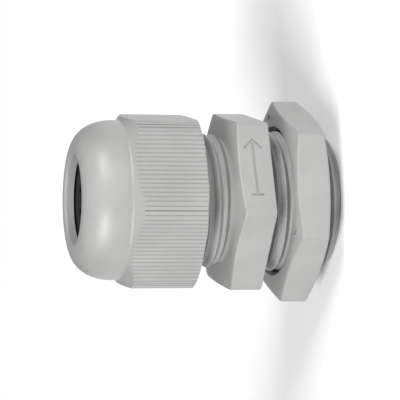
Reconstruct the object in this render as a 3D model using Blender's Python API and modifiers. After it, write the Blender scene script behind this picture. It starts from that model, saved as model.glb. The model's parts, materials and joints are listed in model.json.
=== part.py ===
"""Plastic cable gland: body with a hexagon flange and two threads, domed nut, slotted clamping claw, rubber
sealing ring and lock nut. Metres, +Z towards the dome, origin at the centre of the mounting thread's end."""

import math

import bmesh
import bpy
from mathutils import Matrix, Vector

# Driving dimensions
PITCH = 0.00141111  # 18 turns per inch, right-handed
THREAD_DEPTH = 0.00067
THREAD_FLANK = math.radians(40)  # from the thread's normal, so the form's angle is 80 degrees
THREAD_CREST = 0.00014  # width of the flat on the crest
THREAD_GAP = 0.00015  # radial play between the nuts' threads and the body's
MOUNT_MAJOR_R = 0.0102
REAR_MAJOR_R = 0.0097
SEAT_Z = 0.0107  # the flange's panel face, which is also the mounting thread's length
FLANGE_H = 0.005
BODY_TOP_Z = SEAT_Z + 0.015
CAP_LOW_Z = SEAT_Z + 0.0095
CAP_TOP_Z = SEAT_Z + 0.02645
NUT_TOP_Z = SEAT_Z - 0.0031
NUT_H = 0.005
HEX_AF = 0.024  # across flats, flange and domed nut
CAP_CORNER_R = 0.01335
NUT_AF = 0.0259
BORE_R = 0.0069
SOCKET_R = 0.0080
SLIDE_GAP = 0.00025  # claw in its socket and in the domed nut
SEAL_R = 0.0059
LIP_R = 0.00627
HOLLOW_R = 0.0093  # domed nut, round the claw
TIGHTEN_ROOM = 0.0029  # two turns of the domed nut, and a little more

# Crest heights on the side that faces -Y
REAR_CREST_Z = SEAT_Z + 0.00725
MOUNT_CREST_Z = SEAT_Z - 0.00235

THREAD_STEPS = 36
ROUND_STEPS = 48
FLANGE_CORNER_TURN = math.radians(-98.5)
CAP_CORNER_TURN = math.radians(-97.5)
NUT_CORNER_TURN = math.radians(-111.0)
FINGERS = 10
FINGER_SLOT_W = 0.0013
MERGE = 0.00001


def clear_scene():
    for obj in list(bpy.data.objects):
        bpy.data.objects.remove(obj, do_unlink=True)


def new_collection(name):
    made = bpy.data.collections.new(name)
    bpy.context.scene.collection.children.link(made)
    return made


def plastic(name, colour, roughness):
    made = bpy.data.materials.new(name)
    made.use_nodes = True
    shader = made.node_tree.nodes["Principled BSDF"]
    shader.inputs["Base Color"].default_value = (*colour, 1.0)
    shader.inputs["Roughness"].default_value = roughness
    shader.inputs["Metallic"].default_value = 0.0
    return made


def add_object(name, mesh, collection):
    made = bpy.data.objects.new(name, mesh)
    collection.objects.link(made)
    if collection is helpers:
        made.hide_render = True
        made.display_type = "WIRE"
    return made


def outline(name, points, closed, collection):
    """A wire of (radius, height) points in the XZ plane."""
    mesh = bpy.data.meshes.new(name)
    edges = [(i, i + 1) for i in range(len(points) - 1)]
    if closed:
        edges.append((len(points) - 1, 0))
    mesh.from_pydata([(r, 0, z) for r, z in points], edges, [])
    return add_object(name, mesh, collection)


def turned(name, profile, collection):
    """Turns a profile about Z. It is closed, or runs from axis to axis, and goes down its outer side."""
    from_axis_to_axis = profile[0][0] == 0 and profile[-1][0] == 0
    made = outline(name, profile, not from_axis_to_axis, collection)
    screw = made.modifiers.new("turn", "SCREW")
    screw.steps = screw.render_steps = ROUND_STEPS
    screw.use_merge_vertices = True
    screw.merge_threshold = MERGE
    return made


def hexagon(name, across_flats, low, high, corner_turn, collection):
    """A prism with one corner at the given angle about +Z."""
    mesh = bpy.data.meshes.new(name)
    shape = bmesh.new()
    corner_r = across_flats / math.sqrt(3)
    middle = Matrix.Translation((0, 0, (low + high) / 2))
    place = middle @ Matrix.Rotation(corner_turn - math.radians(90), 4, "Z")
    bmesh.ops.create_cone(
        shape, cap_ends=True, segments=6, radius1=corner_r, radius2=corner_r, depth=high - low, matrix=place
    )
    shape.to_mesh(mesh)
    shape.free()
    return add_object(name, mesh, collection)


def cut_flat(shape, height, keep_above):
    """Cuts the shape level at this height and closes the cut."""
    side = Vector((0, 0, -1 if keep_above else 1))
    everything = shape.verts[:] + shape.edges[:] + shape.faces[:]
    bmesh.ops.bisect_plane(shape, geom=everything, plane_co=(0, 0, height), plane_no=side, clear_outer=True)
    rim = [e for e in shape.edges if e.is_boundary and all(abs(v.co.z - height) < MERGE for v in e.verts)]
    bmesh.ops.edgeloop_fill(shape, edges=rim)


def threaded_rod(name, major_r, low, high, crest_z):
    """A solid rod with an outside thread whose crest passes -Y at crest_z."""
    minor_r = major_r - THREAD_DEPTH
    flank = THREAD_DEPTH * math.tan(THREAD_FLANK)
    crest_from_start = flank + THREAD_CREST / 2
    first = crest_z + PITCH / 4 - crest_from_start
    first -= PITCH * math.ceil((first - low) / PITCH + 1.5)
    turns = math.ceil((high - first) / PITCH) + 1
    one_pitch = [
        (minor_r, first + PITCH),
        (minor_r, first + 2 * flank + THREAD_CREST),
        (major_r, first + flank + THREAD_CREST),
        (major_r, first + flank),
        (minor_r, first),
    ]
    ridge = outline(name, one_pitch, False, helpers)
    screw = ridge.modifiers.new("helix", "SCREW")
    screw.steps = screw.render_steps = THREAD_STEPS
    screw.screw_offset = PITCH
    screw.iterations = turns
    shape = bmesh.new()
    shape.from_mesh(settled_mesh(ridge))
    bmesh.ops.remove_doubles(shape, verts=shape.verts, dist=MERGE)
    cut_flat(shape, low, keep_above=True)
    cut_flat(shape, high, keep_above=False)
    bmesh.ops.recalc_face_normals(shape, faces=shape.faces)
    ridge.modifiers.remove(screw)
    shape.to_mesh(ridge.data)
    shape.free()
    return ridge


def settled_mesh(obj):
    bpy.context.view_layer.update()
    return bpy.data.meshes.new_from_object(obj.evaluated_get(bpy.context.evaluated_depsgraph_get()))


def combine(obj, other, operation):
    step = obj.modifiers.new(f"{operation.lower()} {other.name}", "BOOLEAN")
    step.operation = operation
    step.object = other
    step.solver = "EXACT"


def finish_piece(obj, material):
    obj.data.materials.append(material)
    obj.data.shade_smooth()
    obj.data.set_sharp_from_angle(angle=math.radians(30))


def make_body():
    body = hexagon("gland_body", HEX_AF, SEAT_Z, SEAT_Z + FLANGE_H, FLANGE_CORNER_TURN, parts)
    corner_r = HEX_AF / math.sqrt(3)
    flange_top = SEAT_Z + FLANGE_H
    chamfered = [
        (0, flange_top + 0.001),
        (HEX_AF / 2, flange_top + 0.001),
        (HEX_AF / 2, flange_top),
        (corner_r, flange_top - 0.0009),
        (corner_r, SEAT_Z - 0.001),
        (0, SEAT_Z - 0.001),
    ]
    combine(body, turned("flange_envelope", chamfered, helpers), "INTERSECT")

    mount_minor, rear_minor = MOUNT_MAJOR_R - THREAD_DEPTH, REAR_MAJOR_R - THREAD_DEPTH
    mount = threaded_rod("mount_thread", MOUNT_MAJOR_R, 0, SEAT_Z - 0.0005, MOUNT_CREST_Z)
    mount_shape = [
        (0, SEAT_Z),
        (mount_minor - 0.0004, SEAT_Z - 0.0004),
        (MOUNT_MAJOR_R + 0.0002, SEAT_Z - 0.0014),
        (MOUNT_MAJOR_R + 0.0002, 0.00126),
        (MOUNT_MAJOR_R - 0.00106, 0),
        (MOUNT_MAJOR_R - 0.00156, -0.0005),
        (0, -0.0005),
    ]
    combine(mount, turned("mount_envelope", mount_shape, helpers), "INTERSECT")
    rear = threaded_rod("rear_thread", REAR_MAJOR_R, SEAT_Z + 0.0053, BODY_TOP_Z, REAR_CREST_Z)
    rear_shape = [
        (0, BODY_TOP_Z + 0.0005),
        (REAR_MAJOR_R - 0.0015, BODY_TOP_Z + 0.0005),
        (REAR_MAJOR_R + 0.0002, BODY_TOP_Z - 0.0012),
        (REAR_MAJOR_R + 0.0002, SEAT_Z + 0.0066),
        (rear_minor - 0.0004, SEAT_Z + 0.0052),
        (0, SEAT_Z + 0.0052),
    ]
    combine(rear, turned("rear_envelope", rear_shape, helpers), "INTERSECT")
    core = [
        (0, BODY_TOP_Z - 0.0004),
        (rear_minor - 0.00012, BODY_TOP_Z - 0.0012),
        (rear_minor - 0.00012, SEAT_Z + 0.002),
        (mount_minor - 0.00012, SEAT_Z + 0.002),
        (mount_minor - 0.00012, 0.002),
        (0, 0.002),
    ]
    combine(body, turned("body_core", core, helpers), "UNION")
    combine(body, mount, "UNION")
    combine(body, rear, "UNION")

    passage = [
        (0, BODY_TOP_Z + 0.001),
        (SOCKET_R + 0.0013, BODY_TOP_Z + 0.001),
        (SOCKET_R, BODY_TOP_Z - 0.0003),
        (SOCKET_R, SEAT_Z + 0.0055),
        (BORE_R, SEAT_Z + 0.0055),
        (BORE_R, 0.0008),
        (BORE_R + 0.0018, -0.001),
        (0, -0.001),
    ]
    combine(body, turned("passage", passage, helpers), "DIFFERENCE")
    relief = [
        (MOUNT_MAJOR_R + 0.00035, SEAT_Z + 0.0003),
        (MOUNT_MAJOR_R + 0.00035, SEAT_Z - 0.0003),
        (mount_minor + 0.00005, SEAT_Z - 0.0003),
        (mount_minor + 0.00005, SEAT_Z + 0.0003),
    ]
    combine(body, turned("seat_relief", relief, helpers), "DIFFERENCE")
    finish_piece(body, grey_plastic)


def make_dome_nut():
    cap = hexagon("dome_nut", HEX_AF, CAP_LOW_Z, CAP_TOP_Z + 0.0005, CAP_CORNER_TURN, parts)
    dome_base_z, crease_z, shoulder_z = SEAT_Z + 0.0210, SEAT_Z + 0.0201, SEAT_Z + 0.0188
    dome_r, dome_h, rim_r = 0.0115, CAP_TOP_Z - SEAT_Z - 0.0210, 0.0075
    arc_steps = 6
    arc = []
    for i in range(arc_steps + 1):
        turn = math.radians(90) * (1 - i / arc_steps)
        arc.append((rim_r + (dome_r - rim_r) * math.cos(turn), dome_base_z + dome_h * math.sin(turn)))
    outer = [
        (0, CAP_TOP_Z),
        *arc,
        (0.0114, crease_z),
        (CAP_CORNER_R, shoulder_z),
        (CAP_CORNER_R, CAP_LOW_Z + 0.0003),
        (CAP_CORNER_R - 0.0006, CAP_LOW_Z - 0.0003),
        (0, CAP_LOW_Z - 0.0003),
    ]
    combine(cap, turned("dome_envelope", outer, helpers), "INTERSECT")

    relief_r = REAR_MAJOR_R + THREAD_GAP + 0.0001
    hollow_top = SEAT_Z + 0.02516
    thread_top = SEAT_Z + 0.0145
    relief_top = BODY_TOP_Z + TIGHTEN_ROOM
    hollow = [
        (0, CAP_TOP_Z + 0.001),
        (LIP_R, CAP_TOP_Z + 0.001),
        (LIP_R, hollow_top),
        (0.0073, hollow_top),
        (HOLLOW_R, SEAT_Z + 0.0195),
        (HOLLOW_R, relief_top),
        (relief_r, relief_top - (relief_r - HOLLOW_R)),
        (relief_r, thread_top),
        (REAR_MAJOR_R - THREAD_DEPTH, thread_top - 0.0004),
        (REAR_MAJOR_R - THREAD_DEPTH, CAP_LOW_Z + 0.0007),
        (relief_r + 0.0002, CAP_LOW_Z - 0.0004),
        (0, CAP_LOW_Z - 0.0004),
    ]
    combine(cap, turned("cap_hollow", hollow, helpers), "DIFFERENCE")
    tap_low, tap_high = CAP_LOW_Z - 0.001, thread_top + 0.0004
    tap = threaded_rod("cap_tap", REAR_MAJOR_R + THREAD_GAP, tap_low, tap_high, REAR_CREST_Z)
    combine(cap, tap, "DIFFERENCE")
    finish_piece(cap, grey_plastic)


def make_claw():
    """A ring whose slotted upper part forms fingers with wedge-shaped heads round the sealing ring."""
    low = SEAT_Z + 0.0086
    out_r, in_r, seal_seat_r = SOCKET_R - SLIDE_GAP, BORE_R + 0.00005, 0.0078
    head_z = BODY_TOP_Z + TIGHTEN_ROOM + 0.0001
    profile = [
        (0.0081, SEAT_Z + 0.0220),
        (HOLLOW_R - SLIDE_GAP, SEAT_Z + 0.0194),
        (HOLLOW_R - SLIDE_GAP, head_z + 0.0006),
        (out_r, head_z),
        (out_r, low + 0.0003),
        (out_r - 0.0003, low),
        (in_r, low),
        (in_r, head_z),
        (seal_seat_r, head_z + 0.0004),
        (seal_seat_r, SEAT_Z + 0.0220),
    ]
    claw = turned("clamping_claw", profile, parts)
    slot_low, slot_high = SEAT_Z + 0.0130, SEAT_Z + 0.0225
    for i in range(FINGERS):
        mesh = bpy.data.meshes.new(f"finger_slot_{i}")
        shape = bmesh.new()
        size = Matrix.Diagonal((0.004, FINGER_SLOT_W, slot_high - slot_low, 1))
        place = Matrix.Translation((SOCKET_R, 0, (slot_low + slot_high) / 2))
        turn = Matrix.Rotation(math.radians(90) + 2 * math.pi * (i + 0.5) / FINGERS, 4, "Z")
        bmesh.ops.create_cube(shape, size=1, matrix=turn @ place @ size)
        shape.to_mesh(mesh)
        shape.free()
        combine(claw, add_object(mesh.name, mesh, helpers), "DIFFERENCE")
    finish_piece(claw, grey_plastic)


def make_seal():
    low, shoulder, top = BODY_TOP_Z + TIGHTEN_ROOM + 0.0008, SEAT_Z + 0.0226, SEAT_Z + 0.02485
    profile = [
        (SEAL_R + 0.0003, top),
        (0.00705, top),
        (0.0076, shoulder),
        (0.0076, low + 0.0003),
        (0.0073, low),
        (SEAL_R + 0.0004, low),
        (SEAL_R, low + 0.0004),
        (SEAL_R, top - 0.0003),
    ]
    finish_piece(turned("sealing_ring", profile, parts), black_rubber)


def make_lock_nut():
    low = NUT_TOP_Z - NUT_H
    nut = hexagon("lock_nut", NUT_AF, low, NUT_TOP_Z, NUT_CORNER_TURN, parts)
    corner_r = NUT_AF / math.sqrt(3)
    chamfer = (corner_r + 0.0002 - NUT_AF / 2) * math.tan(math.radians(30))
    outer = [
        (0, NUT_TOP_Z + 0.001),
        (NUT_AF / 2, NUT_TOP_Z + 0.001),
        (NUT_AF / 2, NUT_TOP_Z - 0.0001),
        (corner_r + 0.0002, NUT_TOP_Z - 0.0001 - chamfer),
        (corner_r + 0.0002, low + 0.0001 + chamfer),
        (NUT_AF / 2, low + 0.0001),
        (NUT_AF / 2, low - 0.001),
        (0, low - 0.001),
    ]
    combine(nut, turned("nut_envelope", outer, helpers), "INTERSECT")
    hole_r, mouth_r = MOUNT_MAJOR_R + 0.00025, MOUNT_MAJOR_R + 0.0007
    hole = [
        (0, NUT_TOP_Z + 0.0005),
        (mouth_r + 0.0005, NUT_TOP_Z + 0.0005),
        (hole_r, NUT_TOP_Z + hole_r - mouth_r),
        (hole_r, low + mouth_r - hole_r),
        (mouth_r + 0.0005, low - 0.0005),
        (0, low - 0.0005),
    ]
    combine(nut, turned("nut_hole", hole, helpers), "DIFFERENCE")
    finish_piece(nut, grey_plastic)


clear_scene()
parts = new_collection("cable_gland")
helpers = new_collection("cutters")
grey_plastic = plastic("light_grey_polyamide", (0.52, 0.52, 0.51), 0.42)
black_rubber = plastic("black_rubber", (0.02, 0.02, 0.02), 0.6)
make_body()
make_dome_nut()
make_claw()
make_seal()
make_lock_nut()
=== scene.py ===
# A plastic cable gland on a white table: body, ribbed dome nut, clamping claw, sealing ring and lock nut.
import json
import math

import bpy
from mathutils import Matrix, Vector


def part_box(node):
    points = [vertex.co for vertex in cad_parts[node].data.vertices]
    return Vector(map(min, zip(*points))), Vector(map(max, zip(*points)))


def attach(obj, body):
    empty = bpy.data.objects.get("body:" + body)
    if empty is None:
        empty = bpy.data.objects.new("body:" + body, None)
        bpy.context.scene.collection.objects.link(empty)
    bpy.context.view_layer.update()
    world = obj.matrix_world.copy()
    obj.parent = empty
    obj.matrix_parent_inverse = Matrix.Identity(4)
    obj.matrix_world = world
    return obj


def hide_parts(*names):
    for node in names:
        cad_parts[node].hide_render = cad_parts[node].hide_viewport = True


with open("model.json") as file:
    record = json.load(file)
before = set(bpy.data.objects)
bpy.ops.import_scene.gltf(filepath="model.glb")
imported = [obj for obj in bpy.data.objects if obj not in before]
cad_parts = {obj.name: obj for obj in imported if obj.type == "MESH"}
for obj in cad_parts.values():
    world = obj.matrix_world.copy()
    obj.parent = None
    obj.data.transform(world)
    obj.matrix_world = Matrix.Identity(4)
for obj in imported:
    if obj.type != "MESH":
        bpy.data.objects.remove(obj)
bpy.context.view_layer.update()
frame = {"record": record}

# levels and sizes that the frame gives, in metres
mounts = {mount["name"]: mount for mount in frame["record"]["mounts"]}
seatZ = mounts["panel_seat"]["pos_m"][2]
pitch = frame["record"]["behaviour"]["couplings"][0]["ratio"] * 2 * math.pi
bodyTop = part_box("gland_body")[1].z
capLow, capTop = (corner.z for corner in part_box("dome_nut"))
nutLow, nutTop = (corner.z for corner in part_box("lock_nut"))
sealLow, sealTop = (corner.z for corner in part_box("sealing_ring"))
clawLow, clawTop = (corner.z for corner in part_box("clamping_claw"))

weldGap = 0.000001  # points nearer than this are merged
cutPast = 0.001  # how far a cutter or a shell runs past what it trims
smoothUnder = 32  # degrees: edges sharper than this stay crisp

thread = {
    "depth": 0.00067,
    "flankAngle": 40,  # an 80 degree form has this on either side
    "crestFlat": 0.00014,
    "crestRounding": 0.00008,
    "rootRounding": 0.00012,
    "steps": 96,
}


# modelling helpers

def startFresh():
    # nothing stays selected, so an operator only acts on what comes next
    if bpy.context.object and bpy.context.object.mode != "OBJECT":
        bpy.ops.object.mode_set(mode="OBJECT")
    bpy.ops.object.select_all(action="DESELECT")


def pick(piece):
    startFresh()
    piece.select_set(True)
    bpy.context.view_layer.objects.active = piece


def newPiece(name):
    piece = bpy.context.object
    piece.name = name
    piece.data.name = name
    return piece


def applyPlace():
    bpy.ops.object.transform_apply(location=True, rotation=True, scale=True)


def applyModifiers(piece):
    pick(piece)
    for modifier in list(piece.modifiers):
        bpy.ops.object.modifier_apply(modifier=modifier.name)


def softOutline(corners, arcSteps=4):
    # corners are (radius, height, rounding): each rounded one becomes a short arc
    longestReach = 0.48  # of either side, so that neighbouring arcs stay apart
    outline = []
    for i, (r, z, rounding) in enumerate(corners):
        here = Vector((r, z))
        if not rounding or i in (0, len(corners) - 1):
            outline.append(here)
            continue
        before = Vector(corners[i - 1][:2]) - here
        after = Vector(corners[i + 1][:2]) - here
        half = before.angle(after) / 2
        reach = min(rounding / math.tan(half), longestReach * before.length, longestReach * after.length)
        rounding = reach * math.tan(half)
        before.normalize()
        after.normalize()
        centre = here + (before + after).normalized() * (rounding / math.sin(half))
        first = here + before * reach - centre
        sweep = (here + after * reach - centre).angle_signed(first)
        for step in range(arcSteps + 1):
            outline.append(centre + Matrix.Rotation(sweep * step / arcSteps, 2) @ first)
    return [(point.x, point.y) for point in outline]


def drawOutline(name, points, close=True):
    # a plane merged to one vertex, which is extruded from point to point
    startFresh()
    bpy.ops.mesh.primitive_plane_add(size=0.001, location=(0, 0, 0))
    piece = newPiece(name)
    bpy.ops.object.mode_set(mode="EDIT")
    bpy.ops.mesh.select_mode(type="VERT")
    bpy.ops.mesh.select_all(action="SELECT")
    bpy.ops.mesh.merge(type="CENTER")
    bpy.ops.transform.translate(value=points[0])
    route = list(points[1:]) + ([points[0]] if close else [])
    last = Vector(points[0])
    for point in route:
        bpy.ops.mesh.extrude_region_move(TRANSFORM_OT_translate={"value": Vector(point) - last})
        last = Vector(point)
    bpy.ops.mesh.select_all(action="SELECT")
    bpy.ops.mesh.remove_doubles(threshold=weldGap)
    bpy.ops.object.mode_set(mode="OBJECT")
    return piece


def faceOutwards(piece):
    pick(piece)
    bpy.ops.object.mode_set(mode="EDIT")
    bpy.ops.mesh.select_all(action="SELECT")
    bpy.ops.mesh.remove_doubles(threshold=weldGap)
    bpy.ops.mesh.dissolve_degenerate(threshold=weldGap)
    bpy.ops.mesh.normals_make_consistent(inside=False)
    bpy.ops.object.mode_set(mode="OBJECT")


def turnOutline(name, outline, steps=144):
    # a closed outline of (radius, height) turned round the gland's axis
    piece = drawOutline(name, [(r, 0, z) for r, z in outline])
    turn = piece.modifiers.new("turn", "SCREW")
    turn.steps = turn.render_steps = steps
    turn.use_merge_vertices = True
    turn.merge_threshold = weldGap
    applyModifiers(piece)
    faceOutwards(piece)
    return piece


def combine(piece, tool, how):
    step = piece.modifiers.new(how.lower(), "BOOLEAN")
    step.operation = how
    step.object = tool
    step.solver = "EXACT"
    applyModifiers(piece)
    bpy.data.objects.remove(tool)


def hexBar(name, settings, low, high):
    # a hexagon bar with its upright edges rounded
    startFresh()
    bpy.ops.mesh.primitive_cylinder_add(
        vertices=6, radius=settings["acrossFlats"] / math.sqrt(3), depth=high - low,
        location=(0, 0, (low + high) / 2),
    )
    piece = newPiece(name)
    applyPlace()
    bpy.ops.object.mode_set(mode="EDIT")
    bpy.ops.mesh.select_mode(type="EDGE")
    bpy.ops.mesh.select_all(action="DESELECT")
    bpy.ops.object.mode_set(mode="OBJECT")
    for edge in piece.data.edges:
        ends = [piece.data.vertices[i].co for i in edge.vertices]
        edge.select = abs(ends[0].z - ends[1].z) > (high - low) / 2
    bpy.ops.object.mode_set(mode="EDIT")
    bpy.ops.mesh.bevel(offset=settings["cornerRounding"], segments=4, affect="EDGES")
    bpy.ops.object.mode_set(mode="OBJECT")
    piece.rotation_euler.z = math.radians(settings["cornerTurn"] - 90)  # its first corner is at +Y
    applyPlace()
    return piece


def chamferShell(name, settings, low, high, bothSides=True):
    # a turned shell that slopes a hexagon's end faces off towards its corners
    inside, outside = 0.001, settings["acrossFlats"] / math.sqrt(3) + 0.0002
    face = settings["faceRadius"]
    drop = (outside - face) * math.tan(math.radians(settings["chamferAngle"]))
    outline = [(inside, high + cutPast), (face, high + cutPast), (face, high), (outside, high - drop)]
    if bothSides:
        outline += [(outside, low + drop), (face, low), (face, low - cutPast), (inside, low - cutPast)]
    else:
        outline += [(outside, low), (inside, low)]
    return turnOutline(name, outline)


def threadedBar(name, majorRadius, low, high, crestHeight):
    # a solid bar with an outside thread, whose crest passes the -Y side at crestHeight
    depth, crest = thread["depth"], thread["crestFlat"]
    minorRadius = majorRadius - depth
    flank = depth * math.tan(math.radians(thread["flankAngle"]))
    root = pitch - 2 * flank - crest
    crestMiddle = root / 2 + flank + crest / 2
    start = crestHeight + pitch / 4 - crestMiddle
    start -= pitch * math.ceil((start - low) / pitch + 1.5)  # well past the bottom, where it is cut off
    turns = math.ceil((high - start) / pitch) + 1
    onePitch = softOutline([
        (minorRadius, 0, 0),
        (minorRadius, root / 2, thread["rootRounding"]),
        (majorRadius, root / 2 + flank, thread["crestRounding"]),
        (majorRadius, root / 2 + flank + crest, thread["crestRounding"]),
        (minorRadius, root / 2 + 2 * flank + crest, thread["rootRounding"]),
        (minorRadius, pitch, 0),
    ], arcSteps=3)
    bar = drawOutline(name, [(r, 0, start + z) for r, z in reversed(onePitch)], close=False)
    helix = bar.modifiers.new("helix", "SCREW")
    helix.steps = helix.render_steps = thread["steps"]
    helix.screw_offset = pitch
    helix.iterations = turns
    helix.use_merge_vertices = False
    applyModifiers(bar)
    bpy.ops.object.mode_set(mode="EDIT")
    bpy.ops.mesh.select_all(action="SELECT")
    bpy.ops.mesh.remove_doubles(threshold=weldGap)
    for height, side in ((low, "clear_inner"), (high, "clear_outer")):
        bpy.ops.mesh.select_all(action="SELECT")
        bpy.ops.mesh.bisect(
            plane_co=(0, 0, height), plane_no=(0, 0, 1), use_fill=True, threshold=weldGap / 10, **{side: True}
        )
    bpy.ops.mesh.select_all(action="SELECT")
    bpy.ops.mesh.normals_make_consistent(inside=False)
    bpy.ops.object.mode_set(mode="OBJECT")
    return bar


def softenEdges(piece, width, sharperThan, segments):
    bevel = piece.modifiers.new("soft edges", "BEVEL")
    bevel.width = width
    bevel.segments = segments
    bevel.limit_method = "ANGLE"
    bevel.angle_limit = math.radians(sharperThan)
    bevel.harden_normals = False
    applyModifiers(piece)


def finishPiece(piece, material, body, node):
    faceOutwards(piece)
    bpy.ops.object.shade_smooth_by_angle(angle=math.radians(smoothUnder), keep_sharp_edges=False)
    piece.data.materials.clear()
    piece.data.materials.append(material)
    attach(piece, body)
    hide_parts(node)
    print(f"{piece.name}: {len(piece.data.polygons)} faces")


# materials

def hexColour(code):
    # sRGB hex to the linear values that the shader takes
    channels = [int(code[i:i + 2], 16) / 255 for i in (1, 3, 5)]
    return (*[c / 12.92 if c <= 0.04045 else ((c + 0.055) / 1.055) ** 2.4 for c in channels], 1)


def addNode(material, kind, inputs):
    # each input is a value to set or another node's output to link
    node = material.node_tree.nodes.new(kind)
    for name, value in inputs.items():
        if isinstance(value, bpy.types.NodeSocket):
            material.node_tree.links.new(value, node.inputs[name])
        else:
            node.inputs[name].default_value = value
    return node


def newMaterial(name):
    material = bpy.data.materials.new(name)
    material.use_nodes = True
    return material, material.node_tree.nodes["Principled BSDF"]


def mouldedSurface(name, settings):
    # out of a mould: a slow drift in tone and gloss, a faint orange peel and a fine eroded grain
    material, shader = newMaterial(name)
    low, high = settings["cloudRange"]
    place = addNode(material, "ShaderNodeTexCoord", {}).outputs["Object"]
    clouds = addNode(material, "ShaderNodeTexNoise", {
        "Vector": place, "Scale": 1 / settings["cloudSize"], "Detail": 3.0, "Roughness": 0.5,
    })
    tone = addNode(material, "ShaderNodeValToRGB", {"Fac": clouds.outputs["Fac"]})
    for stop, position, colour in zip(tone.color_ramp.elements, (low, high), ("darkColour", "lightColour")):
        stop.position = position
        stop.color = hexColour(settings[colour])
    peel = addNode(material, "ShaderNodeTexNoise", {
        "Vector": place, "Scale": 1 / settings["peelSize"], "Detail": 1.0,
    })
    grain = addNode(material, "ShaderNodeTexNoise", {
        "Vector": place, "Scale": 1 / settings["grainSize"], "Detail": 2.0,
    })
    gloss = addNode(material, "ShaderNodeMapRange", {
        "Value": clouds.outputs["Fac"], "From Min": low, "From Max": high,
        "To Min": settings["roughness"] - settings["roughnessDrift"],
        "To Max": settings["roughness"] + settings["roughnessDrift"],
    })
    peelBump = addNode(material, "ShaderNodeBump", {
        "Height": peel.outputs["Fac"], "Strength": settings["peelStrength"],
        "Distance": settings["peelSize"] / 20,
    })
    grainBump = addNode(material, "ShaderNodeBump", {
        "Height": grain.outputs["Fac"], "Strength": settings["grainStrength"],
        "Distance": settings["grainSize"] / 8, "Normal": peelBump.outputs["Normal"],
    })
    links = material.node_tree.links
    links.new(tone.outputs["Color"], shader.inputs["Base Color"])
    links.new(gloss.outputs["Result"], shader.inputs["Roughness"])
    links.new(grainBump.outputs["Normal"], shader.inputs["Normal"])
    shader.inputs["IOR"].default_value = settings["ior"]
    shader.inputs["Specular IOR Level"].default_value = settings["specularLevel"]
    return material


# injection moulded polyamide: an even light grey with a soft satin shine
greyPolyamide = mouldedSurface("moulded polyamide, light grey", {
    "darkColour": "#939392",
    "lightColour": "#9B9B9A",
    "cloudSize": 0.005,  # slow patches, 5 mm across
    "cloudRange": (0.3, 0.7),
    "peelSize": 0.0011,  # a ripple about every millimetre
    "peelStrength": 0.25,
    "grainSize": 0.00018,  # the real grain is about 0.03 mm, drawn coarser so that it shows
    "grainStrength": 0.2,
    "roughness": 0.42,
    "roughnessDrift": 0.03,
    "ior": 1.53,
    "specularLevel": 0.5,
})
# moulded chloroprene rubber: near black and matt, with only a weak sheen on its rim
blackRubber = mouldedSurface("moulded chloroprene rubber, black", {
    "darkColour": "#141414",
    "lightColour": "#1C1C1C",
    "cloudSize": 0.003,  # patches 3 mm across
    "cloudRange": (0.3, 0.7),
    "peelSize": 0.0008,
    "peelStrength": 0.3,
    "grainSize": 0.00015,  # finer in the real one, drawn coarser so that it shows
    "grainStrength": 0.4,
    "roughness": 0.65,
    "roughnessDrift": 0.03,
    "ior": 1.53,
    "specularLevel": 0.25,
})
print(f"materials: {greyPolyamide.name}; {blackRubber.name}")


# dome nut: a ribbed hexagon under a smooth dome, with the cable's opening in its middle

domeNut = {
    "acrossFlats": 0.024,
    "cornerTurn": -97.5,  # degrees from +X to a corner
    "cornerRadius": 0.01322,
    "ribPitch": 0.00067,
    "ribsEachWay": 9,
    "grooveWidth": 0.00027,
    "grooveDepth": 0.00011,
    "grooveShape": [(-1, 0), (-0.6, 0.55), (-0.2, 1), (0.2, 1), (0.6, 0.55), (1, 0)],  # half widths, depths
    "endGrooveWidth": 0.00052,  # the last groove at each end runs into the corner's rounding
    "endGrooveDepth": 0.00036,
    "cornerGrooveDepth": 0.00016,
    "cornerGap": 0.0003,  # plain length at each end of a side
    "lipRadius": 0.00635,
    "lipLow": 0.02516,  # heights from here on are above the seat
    "rimTop": 0.02657,
    "rimRadius": 0.0072,
    "domeRadius": 0.0115,
    "domeBase": 0.02075,
    "domeFullness": 2.15,  # 2 is an ellipse, and more is squarer
    "domeSteps": 28,
    "creaseRadius": 0.01142,
    "crease": 0.02012,
    "shoulder": 0.0188,
    "threadTop": 0.0145,
    "threadRunOut": 0.0009,
    "boreRelief": 0.0179,
    "hollowRadius": 0.0093,
    "coneLow": 0.0195,
    "coneTopRadius": 0.0073,
    "threadGap": 0.00015,
    "rearMajor": 0.0097,
    "rearCrest": 0.00725,
}


def ribbedSide(settings):
    # one side's outline from corner to corner, as (along, inwards) points with a groove at every pitch
    halfSide = settings["acrossFlats"] / 2 / math.sqrt(3)
    count = settings["ribsEachWay"]
    points = [(-halfSide + settings["cornerGap"], 0)]
    for i in range(-count, count + 1):
        width, depth = settings["grooveWidth"], settings["grooveDepth"]
        if abs(i) == count:
            width, depth = settings["endGrooveWidth"], settings["endGrooveDepth"]
        points += [(i * settings["ribPitch"] + s * width / 2, d * depth) for s, d in settings["grooveShape"]]
    points.append((halfSide - settings["cornerGap"], 0))
    return points


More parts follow.
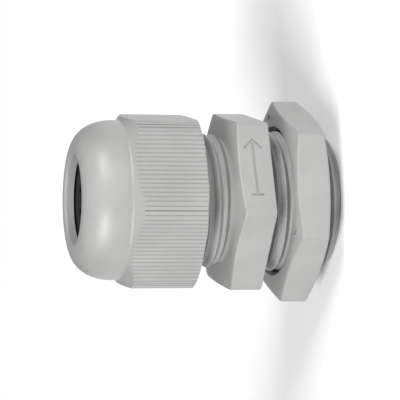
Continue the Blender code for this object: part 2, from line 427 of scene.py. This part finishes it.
def ribbedBar(settings):
    # one side of the hexagon, spun round to six and extruded past both ends
    flat = settings["acrossFlats"] / 2
    flatTurn = math.radians(settings["cornerTurn"] + 30)
    out = Vector((math.cos(flatTurn), math.sin(flatTurn), 0))
    along = Vector((-out.y, out.x, 0))
    side = [out * (flat - inwards) + along * s for s, inwards in ribbedSide(settings)]
    # half of each corner's groove, cut into the corner's rounding
    toCorner = (out * flat - along * flat / math.sqrt(3)).normalized()
    across = Vector((-toCorner.y, toCorner.x, 0))
    bottom = toCorner * (settings["cornerRadius"] - settings["cornerGrooveDepth"])
    halfWidth = settings["grooveWidth"] / 2
    floorShare, proud = 0.3, 0.00012  # the groove's flat floor, and its edge above the rounding
    start = [
        bottom,
        bottom + across * halfWidth * floorShare,
        toCorner * (settings["cornerRadius"] + proud) + across * halfWidth,
    ]
    toNext = Matrix.Rotation(math.radians(60), 3, "Z")
    mirrored = [toNext @ (point - 2 * across * point.dot(across)) for point in reversed(start)]
    side = start + side + mirrored
    low, high = capLow - cutPast, capTop + cutPast
    nut = drawOutline("domeNut", [point + Vector((0, 0, low)) for point in side], close=False)
    bpy.ops.object.mode_set(mode="EDIT")
    bpy.ops.mesh.select_all(action="SELECT")
    bpy.ops.mesh.spin(steps=5, dupli=True, angle=math.radians(300), center=(0, 0, 0), axis=(0, 0, 1))
    bpy.ops.mesh.select_all(action="SELECT")
    bpy.ops.mesh.remove_doubles(threshold=weldGap)
    bpy.ops.mesh.select_all(action="SELECT")
    bpy.ops.mesh.edge_face_add()
    bpy.ops.mesh.extrude_region_move(TRANSFORM_OT_translate={"value": (0, 0, high - low)})
    bpy.ops.object.mode_set(mode="OBJECT")
    faceOutwards(nut)
    return nut


def domeOutline(settings):
    # a quarter of a squared ellipse, from the rim down to the dome's widest place
    s = settings
    power = 2 / s["domeFullness"]
    dome = [(s["rimRadius"], seatZ + s["rimTop"])]
    for i in range(1, s["domeSteps"]):
        turn = math.radians(90) * (1 - i / s["domeSteps"])
        r = s["rimRadius"] + (s["domeRadius"] - s["rimRadius"]) * math.cos(turn) ** power
        z = s["domeBase"] + (s["rimTop"] - s["domeBase"]) * math.sin(turn) ** power
        dome.append((r, seatZ + z))
    return dome + [(s["domeRadius"], seatZ + s["domeBase"])]


def makeDomeNut(settings):
    s = settings
    nut = ribbedBar(s)
    lip = softOutline([
        (s["lipRadius"], seatZ + s["lipLow"], 0),
        (s["lipRadius"], seatZ + s["rimTop"] - 0.00005, 0.0004),
        (s["rimRadius"], seatZ + s["rimTop"], 0),
    ], arcSteps=6)
    minor, major = s["rearMajor"] - thread["depth"], s["rearMajor"] + s["threadGap"]
    # from the dome's foot down the outside, then up the inside to the lip
    below = softOutline([
        (s["domeRadius"], seatZ + s["domeBase"], 0),
        (s["creaseRadius"], seatZ + s["crease"], 0.0005),
        (s["cornerRadius"], seatZ + s["shoulder"], 0),
        (s["cornerRadius"], capLow + 0.0003, 0.0002),
        (s["cornerRadius"] - 0.0008, capLow, 0.0001),
        (major + 0.0004, capLow, 0.0001),
        (minor + 0.0001, capLow + 0.0008, 0.0001),
        (minor + 0.0001, seatZ + s["threadTop"], 0.0001),
        (major + 0.0001, seatZ + s["threadTop"] + 0.0006, 0.0001),
        (major + 0.0001, seatZ + s["boreRelief"] - 0.0006, 0.0002),
        (s["hollowRadius"], seatZ + s["boreRelief"], 0.0003),
        (s["hollowRadius"], seatZ + s["coneLow"], 0.0006),
        (s["coneTopRadius"], seatZ + s["lipLow"], 0.0001),
        (s["lipRadius"], seatZ + s["lipLow"], 0),
    ])
    shell = turnOutline("domeShell", lip[1:-1] + domeOutline(s) + below[1:], steps=180)
    combine(nut, shell, "INTERSECT")
    tapTop = seatZ + s["threadTop"] + s["threadRunOut"]
    tap = threadedBar("capTap", major, capLow - cutPast, tapTop, seatZ + s["rearCrest"])
    combine(nut, tap, "DIFFERENCE")
    return nut


finishPiece(makeDomeNut(domeNut), greyPolyamide, "dome_nut", "dome_nut")


# body: hexagon flange with an engraved mark, between the rear thread and the mounting thread

glandBody = {
    "acrossFlats": 0.0242,
    "cornerTurn": -98.5,
    "cornerRounding": 0.0006,
    "edgeRounding": 0.0003,
    "flangeHeight": 0.005,
    "faceRadius": 0.0115,
    "chamferAngle": 11,
    "markTurn": -68.5,  # degrees from +X to the flat that carries the engraved arrow
    "markMiddle": 0.0026,
    "markDepth": 0.00014,
    "mark": [  # half of an arrow with a bar at its tail, along and across, in millimetres
        (4.5, 0), (3.1, 1.4), (2.87, 1.17), (3.88, 0.16), (-3.98, 0.16), (-3.98, 0.9), (-4.3, 0.9),
    ],
    "mountMajor": 0.0102,
    "mountCrest": -0.00235,
    "endChamfer": 0.00106,
    "rearMajor": 0.0097,
    "rearCrest": 0.00725,
    "rearThreadLow": 0.0053,
    "boreRadius": 0.0069,
    "socketRadius": 0.008,
    "socketLow": 0.0055,
    "reliefWidth": 0.00035,
    "reliefDepth": 0.0003,
}


def makeMark(settings):
    turn = math.radians(settings["markTurn"])
    out = Vector((math.cos(turn), math.sin(turn), 0))
    along, up = Vector((-out.y, out.x, 0)), Vector((0, 0, 1))
    half = settings["mark"]
    shape = half + [(x, -y) for x, y in reversed(half) if y]
    deep = settings["acrossFlats"] / 2 - settings["markDepth"]
    place = out * deep + up * (seatZ + settings["markMiddle"])
    millimetres = 1000
    mark = drawOutline("mark", [place + along * x / millimetres + up * y / millimetres for x, y in shape])
    bpy.ops.object.mode_set(mode="EDIT")
    bpy.ops.mesh.select_all(action="SELECT")
    bpy.ops.mesh.edge_face_add()
    bpy.ops.mesh.extrude_region_move(TRANSFORM_OT_translate={"value": out * cutPast})
    bpy.ops.object.mode_set(mode="OBJECT")
    faceOutwards(mark)
    return mark


def makeBody(settings):
    # the turned pieces below differ in inner radius and steps, so that no two of their walls coincide
    s = settings
    flangeTop = seatZ + s["flangeHeight"]
    body = hexBar("glandBody", s, seatZ, flangeTop)
    combine(body, chamferShell("flangeEnvelope", s, seatZ - cutPast, flangeTop, bothSides=False), "INTERSECT")
    softenEdges(body, s["edgeRounding"], sharperThan=30, segments=4)

    mountMinor, rearMinor = s["mountMajor"] - thread["depth"], s["rearMajor"] - thread["depth"]
    mount = threadedBar("mountThread", s["mountMajor"], 0, seatZ - 0.0005, seatZ + s["mountCrest"])
    combine(mount, turnOutline("mountEnvelope", [
        (0.0013, seatZ), (mountMinor - 0.0004, seatZ - 0.0004), (s["mountMajor"] + 0.0002, seatZ - 0.0014),
        (s["mountMajor"] + 0.0002, s["endChamfer"] + 0.0002), (s["mountMajor"] - s["endChamfer"], 0),
        (s["mountMajor"] - s["endChamfer"] - 0.0005, -0.0005), (0.0013, -0.0005),
    ], steps=110), "INTERSECT")
    rearLow, rearCrest = seatZ + s["rearThreadLow"], seatZ + s["rearCrest"]
    rear = threadedBar("rearThread", s["rearMajor"], rearLow, bodyTop, rearCrest)
    combine(rear, turnOutline("rearEnvelope", [
        (0.0016, bodyTop + 0.0005), (s["rearMajor"] - 0.0015, bodyTop + 0.0005),
        (s["rearMajor"] + 0.0002, bodyTop - 0.0012), (s["rearMajor"] + 0.0002, seatZ + 0.0066),
        (rearMinor - 0.0004, seatZ + 0.0052), (0.0016, seatZ + 0.0052),
    ], steps=110), "INTERSECT")
    core = turnOutline("bodyCore", softOutline([
        (0.0019, bodyTop - 0.0004, 0), (rearMinor - 0.0001, bodyTop - 0.0012, 0),
        (rearMinor - 0.0001, flangeTop - 0.0002, 0), (rearMinor + 0.0006, flangeTop - 0.0009, 0),
        (mountMinor - 0.0001, flangeTop - 0.002, 0), (mountMinor - 0.0001, 0.002, 0), (0.0019, 0.002, 0),
    ]), steps=100)
    combine(body, core, "UNION")
    combine(body, mount, "UNION")
    combine(body, rear, "UNION")
    passage = turnOutline("passage", softOutline([
        (0.0001, bodyTop + cutPast, 0), (s["socketRadius"] + 0.0013, bodyTop + cutPast, 0),
        (s["socketRadius"], bodyTop - 0.0003, 0.0001), (s["socketRadius"], seatZ + s["socketLow"], 0.0003),
        (s["boreRadius"], seatZ + s["socketLow"], 0.0001), (s["boreRadius"], 0.0008, 0.0002),
        (s["boreRadius"] + 0.0018, -cutPast, 0), (0.0001, -cutPast, 0),
    ]), steps=110)
    combine(body, passage, "DIFFERENCE")
    # a shallow groove where the thread meets the flange
    inside, outside = mountMinor + 0.00005, s["mountMajor"] + s["reliefWidth"]
    low, high = seatZ - s["reliefDepth"], seatZ + s["reliefDepth"]
    relief = [(outside, high), (outside, low), (inside, low), (inside, high)]
    combine(body, turnOutline("seatRelief", relief, steps=110), "DIFFERENCE")
    combine(body, makeMark(s), "DIFFERENCE")
    return body


finishPiece(makeBody(glandBody), greyPolyamide, "gland_body", "gland_body")


# lock nut: strongly chamfered on both sides, with ejector pin marks at every other corner

lockNut = {
    "acrossFlats": 0.0259,
    "cornerTurn": -111.0,
    "cornerRounding": 0.0004,
    "edgeRounding": 0.00022,
    "faceRadius": 0.0124,
    "chamferAngle": 14,
    "holeRadius": 0.01045,
    "mouthRadius": 0.0109,
    "mouthDepth": 0.00045,
    "threadMajor": 0.0110,  # wide of the body's thread, so that the nut can slide along it
    "pinMarks": 3,
    "pinMarkRadius": 0.0007,
    "pinMarkPlace": 0.0122,
    "pinMarkDepth": 0.0006,
}


def makeLockNut(settings):
    s = settings
    nut = hexBar("lockNut", s, nutLow, nutTop)
    combine(nut, chamferShell("nutEnvelope", s, nutLow, nutTop), "INTERSECT")
    softenEdges(nut, s["edgeRounding"], sharperThan=40, segments=3)
    past = 0.0005
    hole = turnOutline("nutHole", [
        (0.001, nutTop + past), (s["mouthRadius"] + past, nutTop + past),
        (s["holeRadius"], nutTop - s["mouthDepth"]), (s["holeRadius"], nutLow + s["mouthDepth"]),
        (s["mouthRadius"] + past, nutLow - past), (0.001, nutLow - past),
    ], steps=110)
    combine(nut, hole, "DIFFERENCE")
    crest = seatZ + glandBody["mountCrest"]
    tap = threadedBar("nutTap", s["threadMajor"], nutLow - cutPast, nutTop + cutPast, crest)
    combine(nut, tap, "DIFFERENCE")
    for i in range(s["pinMarks"]):
        turn = math.radians(s["cornerTurn"] + 360 / s["pinMarks"] * i)
        startFresh()
        bpy.ops.mesh.primitive_cylinder_add(
            vertices=32, radius=s["pinMarkRadius"], depth=2 * s["pinMarkDepth"],
            location=(s["pinMarkPlace"] * math.cos(turn), s["pinMarkPlace"] * math.sin(turn), nutTop),
        )
        mark = newPiece("pinMark")
        applyPlace()
        combine(nut, mark, "DIFFERENCE")
    return nut


finishPiece(makeLockNut(lockNut), greyPolyamide, "lock_nut", "lock_nut")


# sealing ring: rubber bush with flutes round its bore

sealingRing = {
    "boreRadius": 0.0059,
    "outsideRadius": 0.0076,
    "topRadius": 0.00705,
    "coneLow": 0.0226,  # above the seat
    "flutes": 12,
    "fluteWidth": 0.0007,
    "fluteLength": 0.02,
    "fluteTop": 0.0005,  # below the ring's top
}


def makeSealingRing(settings):
    s = settings
    ring = turnOutline("sealingRing", softOutline([
        (s["boreRadius"], sealTop - 0.001, 0), (s["boreRadius"] + 0.0001, sealTop, 0.0003),
        (s["topRadius"], sealTop, 0.0002), (s["outsideRadius"], seatZ + s["coneLow"], 0.0003),
        (s["outsideRadius"], sealLow, 0.0003), (s["boreRadius"] + 0.0001, sealLow, 0.0003),
        (s["boreRadius"], sealLow + 0.001, 0),
    ]))
    for i in range(s["flutes"]):
        turn = 2 * math.pi * (i + 0.5) / s["flutes"]
        startFresh()
        bpy.ops.mesh.primitive_cylinder_add(vertices=16, radius=s["fluteWidth"] / 2, depth=s["fluteLength"])
        flute = newPiece("flute")
        flute.location = (
            s["boreRadius"] * math.cos(turn), s["boreRadius"] * math.sin(turn),
            sealTop - s["fluteTop"] - s["fluteLength"] / 2,
        )
        applyPlace()
        combine(ring, flute, "DIFFERENCE")
    return ring


finishPiece(makeSealingRing(sealingRing), blackRubber, "clamping_set", "sealing_ring")


# clamping claw: a sleeve slit into fingers with wedge-shaped heads

clampingClaw = {
    "sleeveRadius": 0.00775,
    "boreRadius": 0.00695,
    "headRadius": 0.00905,
    "headLow": 0.018,  # heights are above the seat
    "headShoulder": 0.0194,
    "tipRadius": 0.0081,
    "sealSeatRadius": 0.0078,
    "fingers": 10,
    "slotSize": (0.004, 0.0013, 0.0095),  # through the wall, between fingers, upwards
    "slotRadius": 0.008,
    "slotMiddle": 0.01775,
}


def makeClaw(settings):
    s = settings
    headLow = seatZ + s["headLow"]
    claw = turnOutline("clampingClaw", softOutline([
        (s["sealSeatRadius"], clawTop - 0.001, 0), (s["sealSeatRadius"], clawTop, 0.00005),
        (s["tipRadius"], clawTop, 0.0001), (s["headRadius"], seatZ + s["headShoulder"], 0.0003),
        (s["headRadius"], headLow + 0.0006, 0.0002), (s["sleeveRadius"], headLow, 0.0002),
        (s["sleeveRadius"], clawLow + 0.0003, 0.0001), (s["sleeveRadius"] - 0.0003, clawLow, 0.0001),
        (s["boreRadius"], clawLow, 0.0001), (s["boreRadius"], headLow, 0.0002),
        (s["sealSeatRadius"], headLow + 0.0004, 0.0001), (s["sealSeatRadius"], clawTop - 0.001, 0),
    ])[:-1], steps=120)
    for i in range(s["fingers"]):
        turn = math.radians(90) + 2 * math.pi * (i + 0.5) / s["fingers"]
        startFresh()
        bpy.ops.mesh.primitive_cube_add(size=1, location=(0, 0, 0))
        slot = newPiece("slot")
        slot.scale = s["slotSize"]
        slot.location = (
            s["slotRadius"] * math.cos(turn), s["slotRadius"] * math.sin(turn), seatZ + s["slotMiddle"]
        )
        slot.rotation_euler.z = turn
        applyPlace()
        combine(claw, slot, "DIFFERENCE")
    return claw


finishPiece(makeClaw(clampingClaw), greyPolyamide, "clamping_set", "clamping_claw")


# table, light and camera

studio = {
    "tableSize": 3.0,
    "tableColour": "#FCFCFC",
    "tableRoughness": 0.9,
    "tableDrop": 0.00002,  # keeps the table's face clear of the gland's end
    "worldStrength": 0.22,
    "softboxes": [
        # name, direction from the gland, distance, width, height, watts
        ("upperBox", (0.70, -0.48, 0.53), 2.6, 1.9, 0.75, 58),
        ("lowerBox", (-0.60, -0.57, 0.56), 2.6, 1.9, 0.75, 74),
    ],
}


def makeStudio(settings):
    startFresh()
    bpy.ops.mesh.primitive_plane_add(size=settings["tableSize"], location=(0, 0, -settings["tableDrop"]))
    table = newPiece("table")
    material, shader = newMaterial("matt white card")
    shader.inputs["Base Color"].default_value = hexColour(settings["tableColour"])
    shader.inputs["Roughness"].default_value = settings["tableRoughness"]
    table.data.materials.append(material)
    world = bpy.data.worlds.new("studio")
    bpy.context.scene.world = world
    world.use_nodes = True
    background = world.node_tree.nodes["Background"]
    background.inputs["Color"].default_value = (1, 1, 1, 1)
    background.inputs["Strength"].default_value = settings["worldStrength"]
    for name, direction, distance, width, height, watts in settings["softboxes"]:
        back = Vector(direction).normalized()
        startFresh()
        bpy.ops.object.light_add(type="AREA", location=back * distance + Vector((0, 0, seatZ)))
        box = bpy.context.object
        box.name = name
        box.rotation_euler = back.to_track_quat("Z", "X").to_euler()
        box.data.shape = "RECTANGLE"
        box.data.size = height
        box.data.size_y = width
        box.data.energy = watts
        print(f"{name}: {watts} W")


makeStudio(studio)


viewpoint = {
    "aimAboveSeat": 0.008,
    "distance": 0.31755,
    "sideTurn": 14.17,  # degrees up from level, towards the dome
    "tilt": -1.19,
    "roll": -0.04,
    "lens": 197.2,
    "sensorWidth": 36,
    "slide": (0.000233, 0.000073),  # moves the frame right and up
}


def makeCamera(settings):
    side, tilt = math.radians(settings["sideTurn"]), math.radians(settings["tilt"])
    back = Vector((math.sin(tilt), -math.cos(side) * math.cos(tilt), math.sin(side) * math.cos(tilt)))
    right = Vector((1, 0, 0)).cross(back).normalized()
    up = back.cross(right)
    roll = math.radians(settings["roll"])
    right, up = (
        right * math.cos(roll) + up * math.sin(roll),
        up * math.cos(roll) - right * math.sin(roll),
    )
    place = Vector((0, 0, seatZ + settings["aimAboveSeat"])) + back * settings["distance"]
    place += right * settings["slide"][0] + up * settings["slide"][1]
    startFresh()
    bpy.ops.object.camera_add()
    camera = bpy.context.object
    camera.matrix_world = Matrix.Translation(place) @ Matrix((right, up, back)).transposed().to_4x4()
    camera.data.lens = settings["lens"]
    camera.data.sensor_width = settings["sensorWidth"]
    camera.data.clip_start = 0.01
    camera.data.clip_end = 10
    bpy.context.scene.camera = camera
    print(f"camera: {settings['lens']} mm lens, {settings['distance']} m away")


makeCamera(viewpoint)
bpy.context.scene.view_settings.view_transform = "Standard"
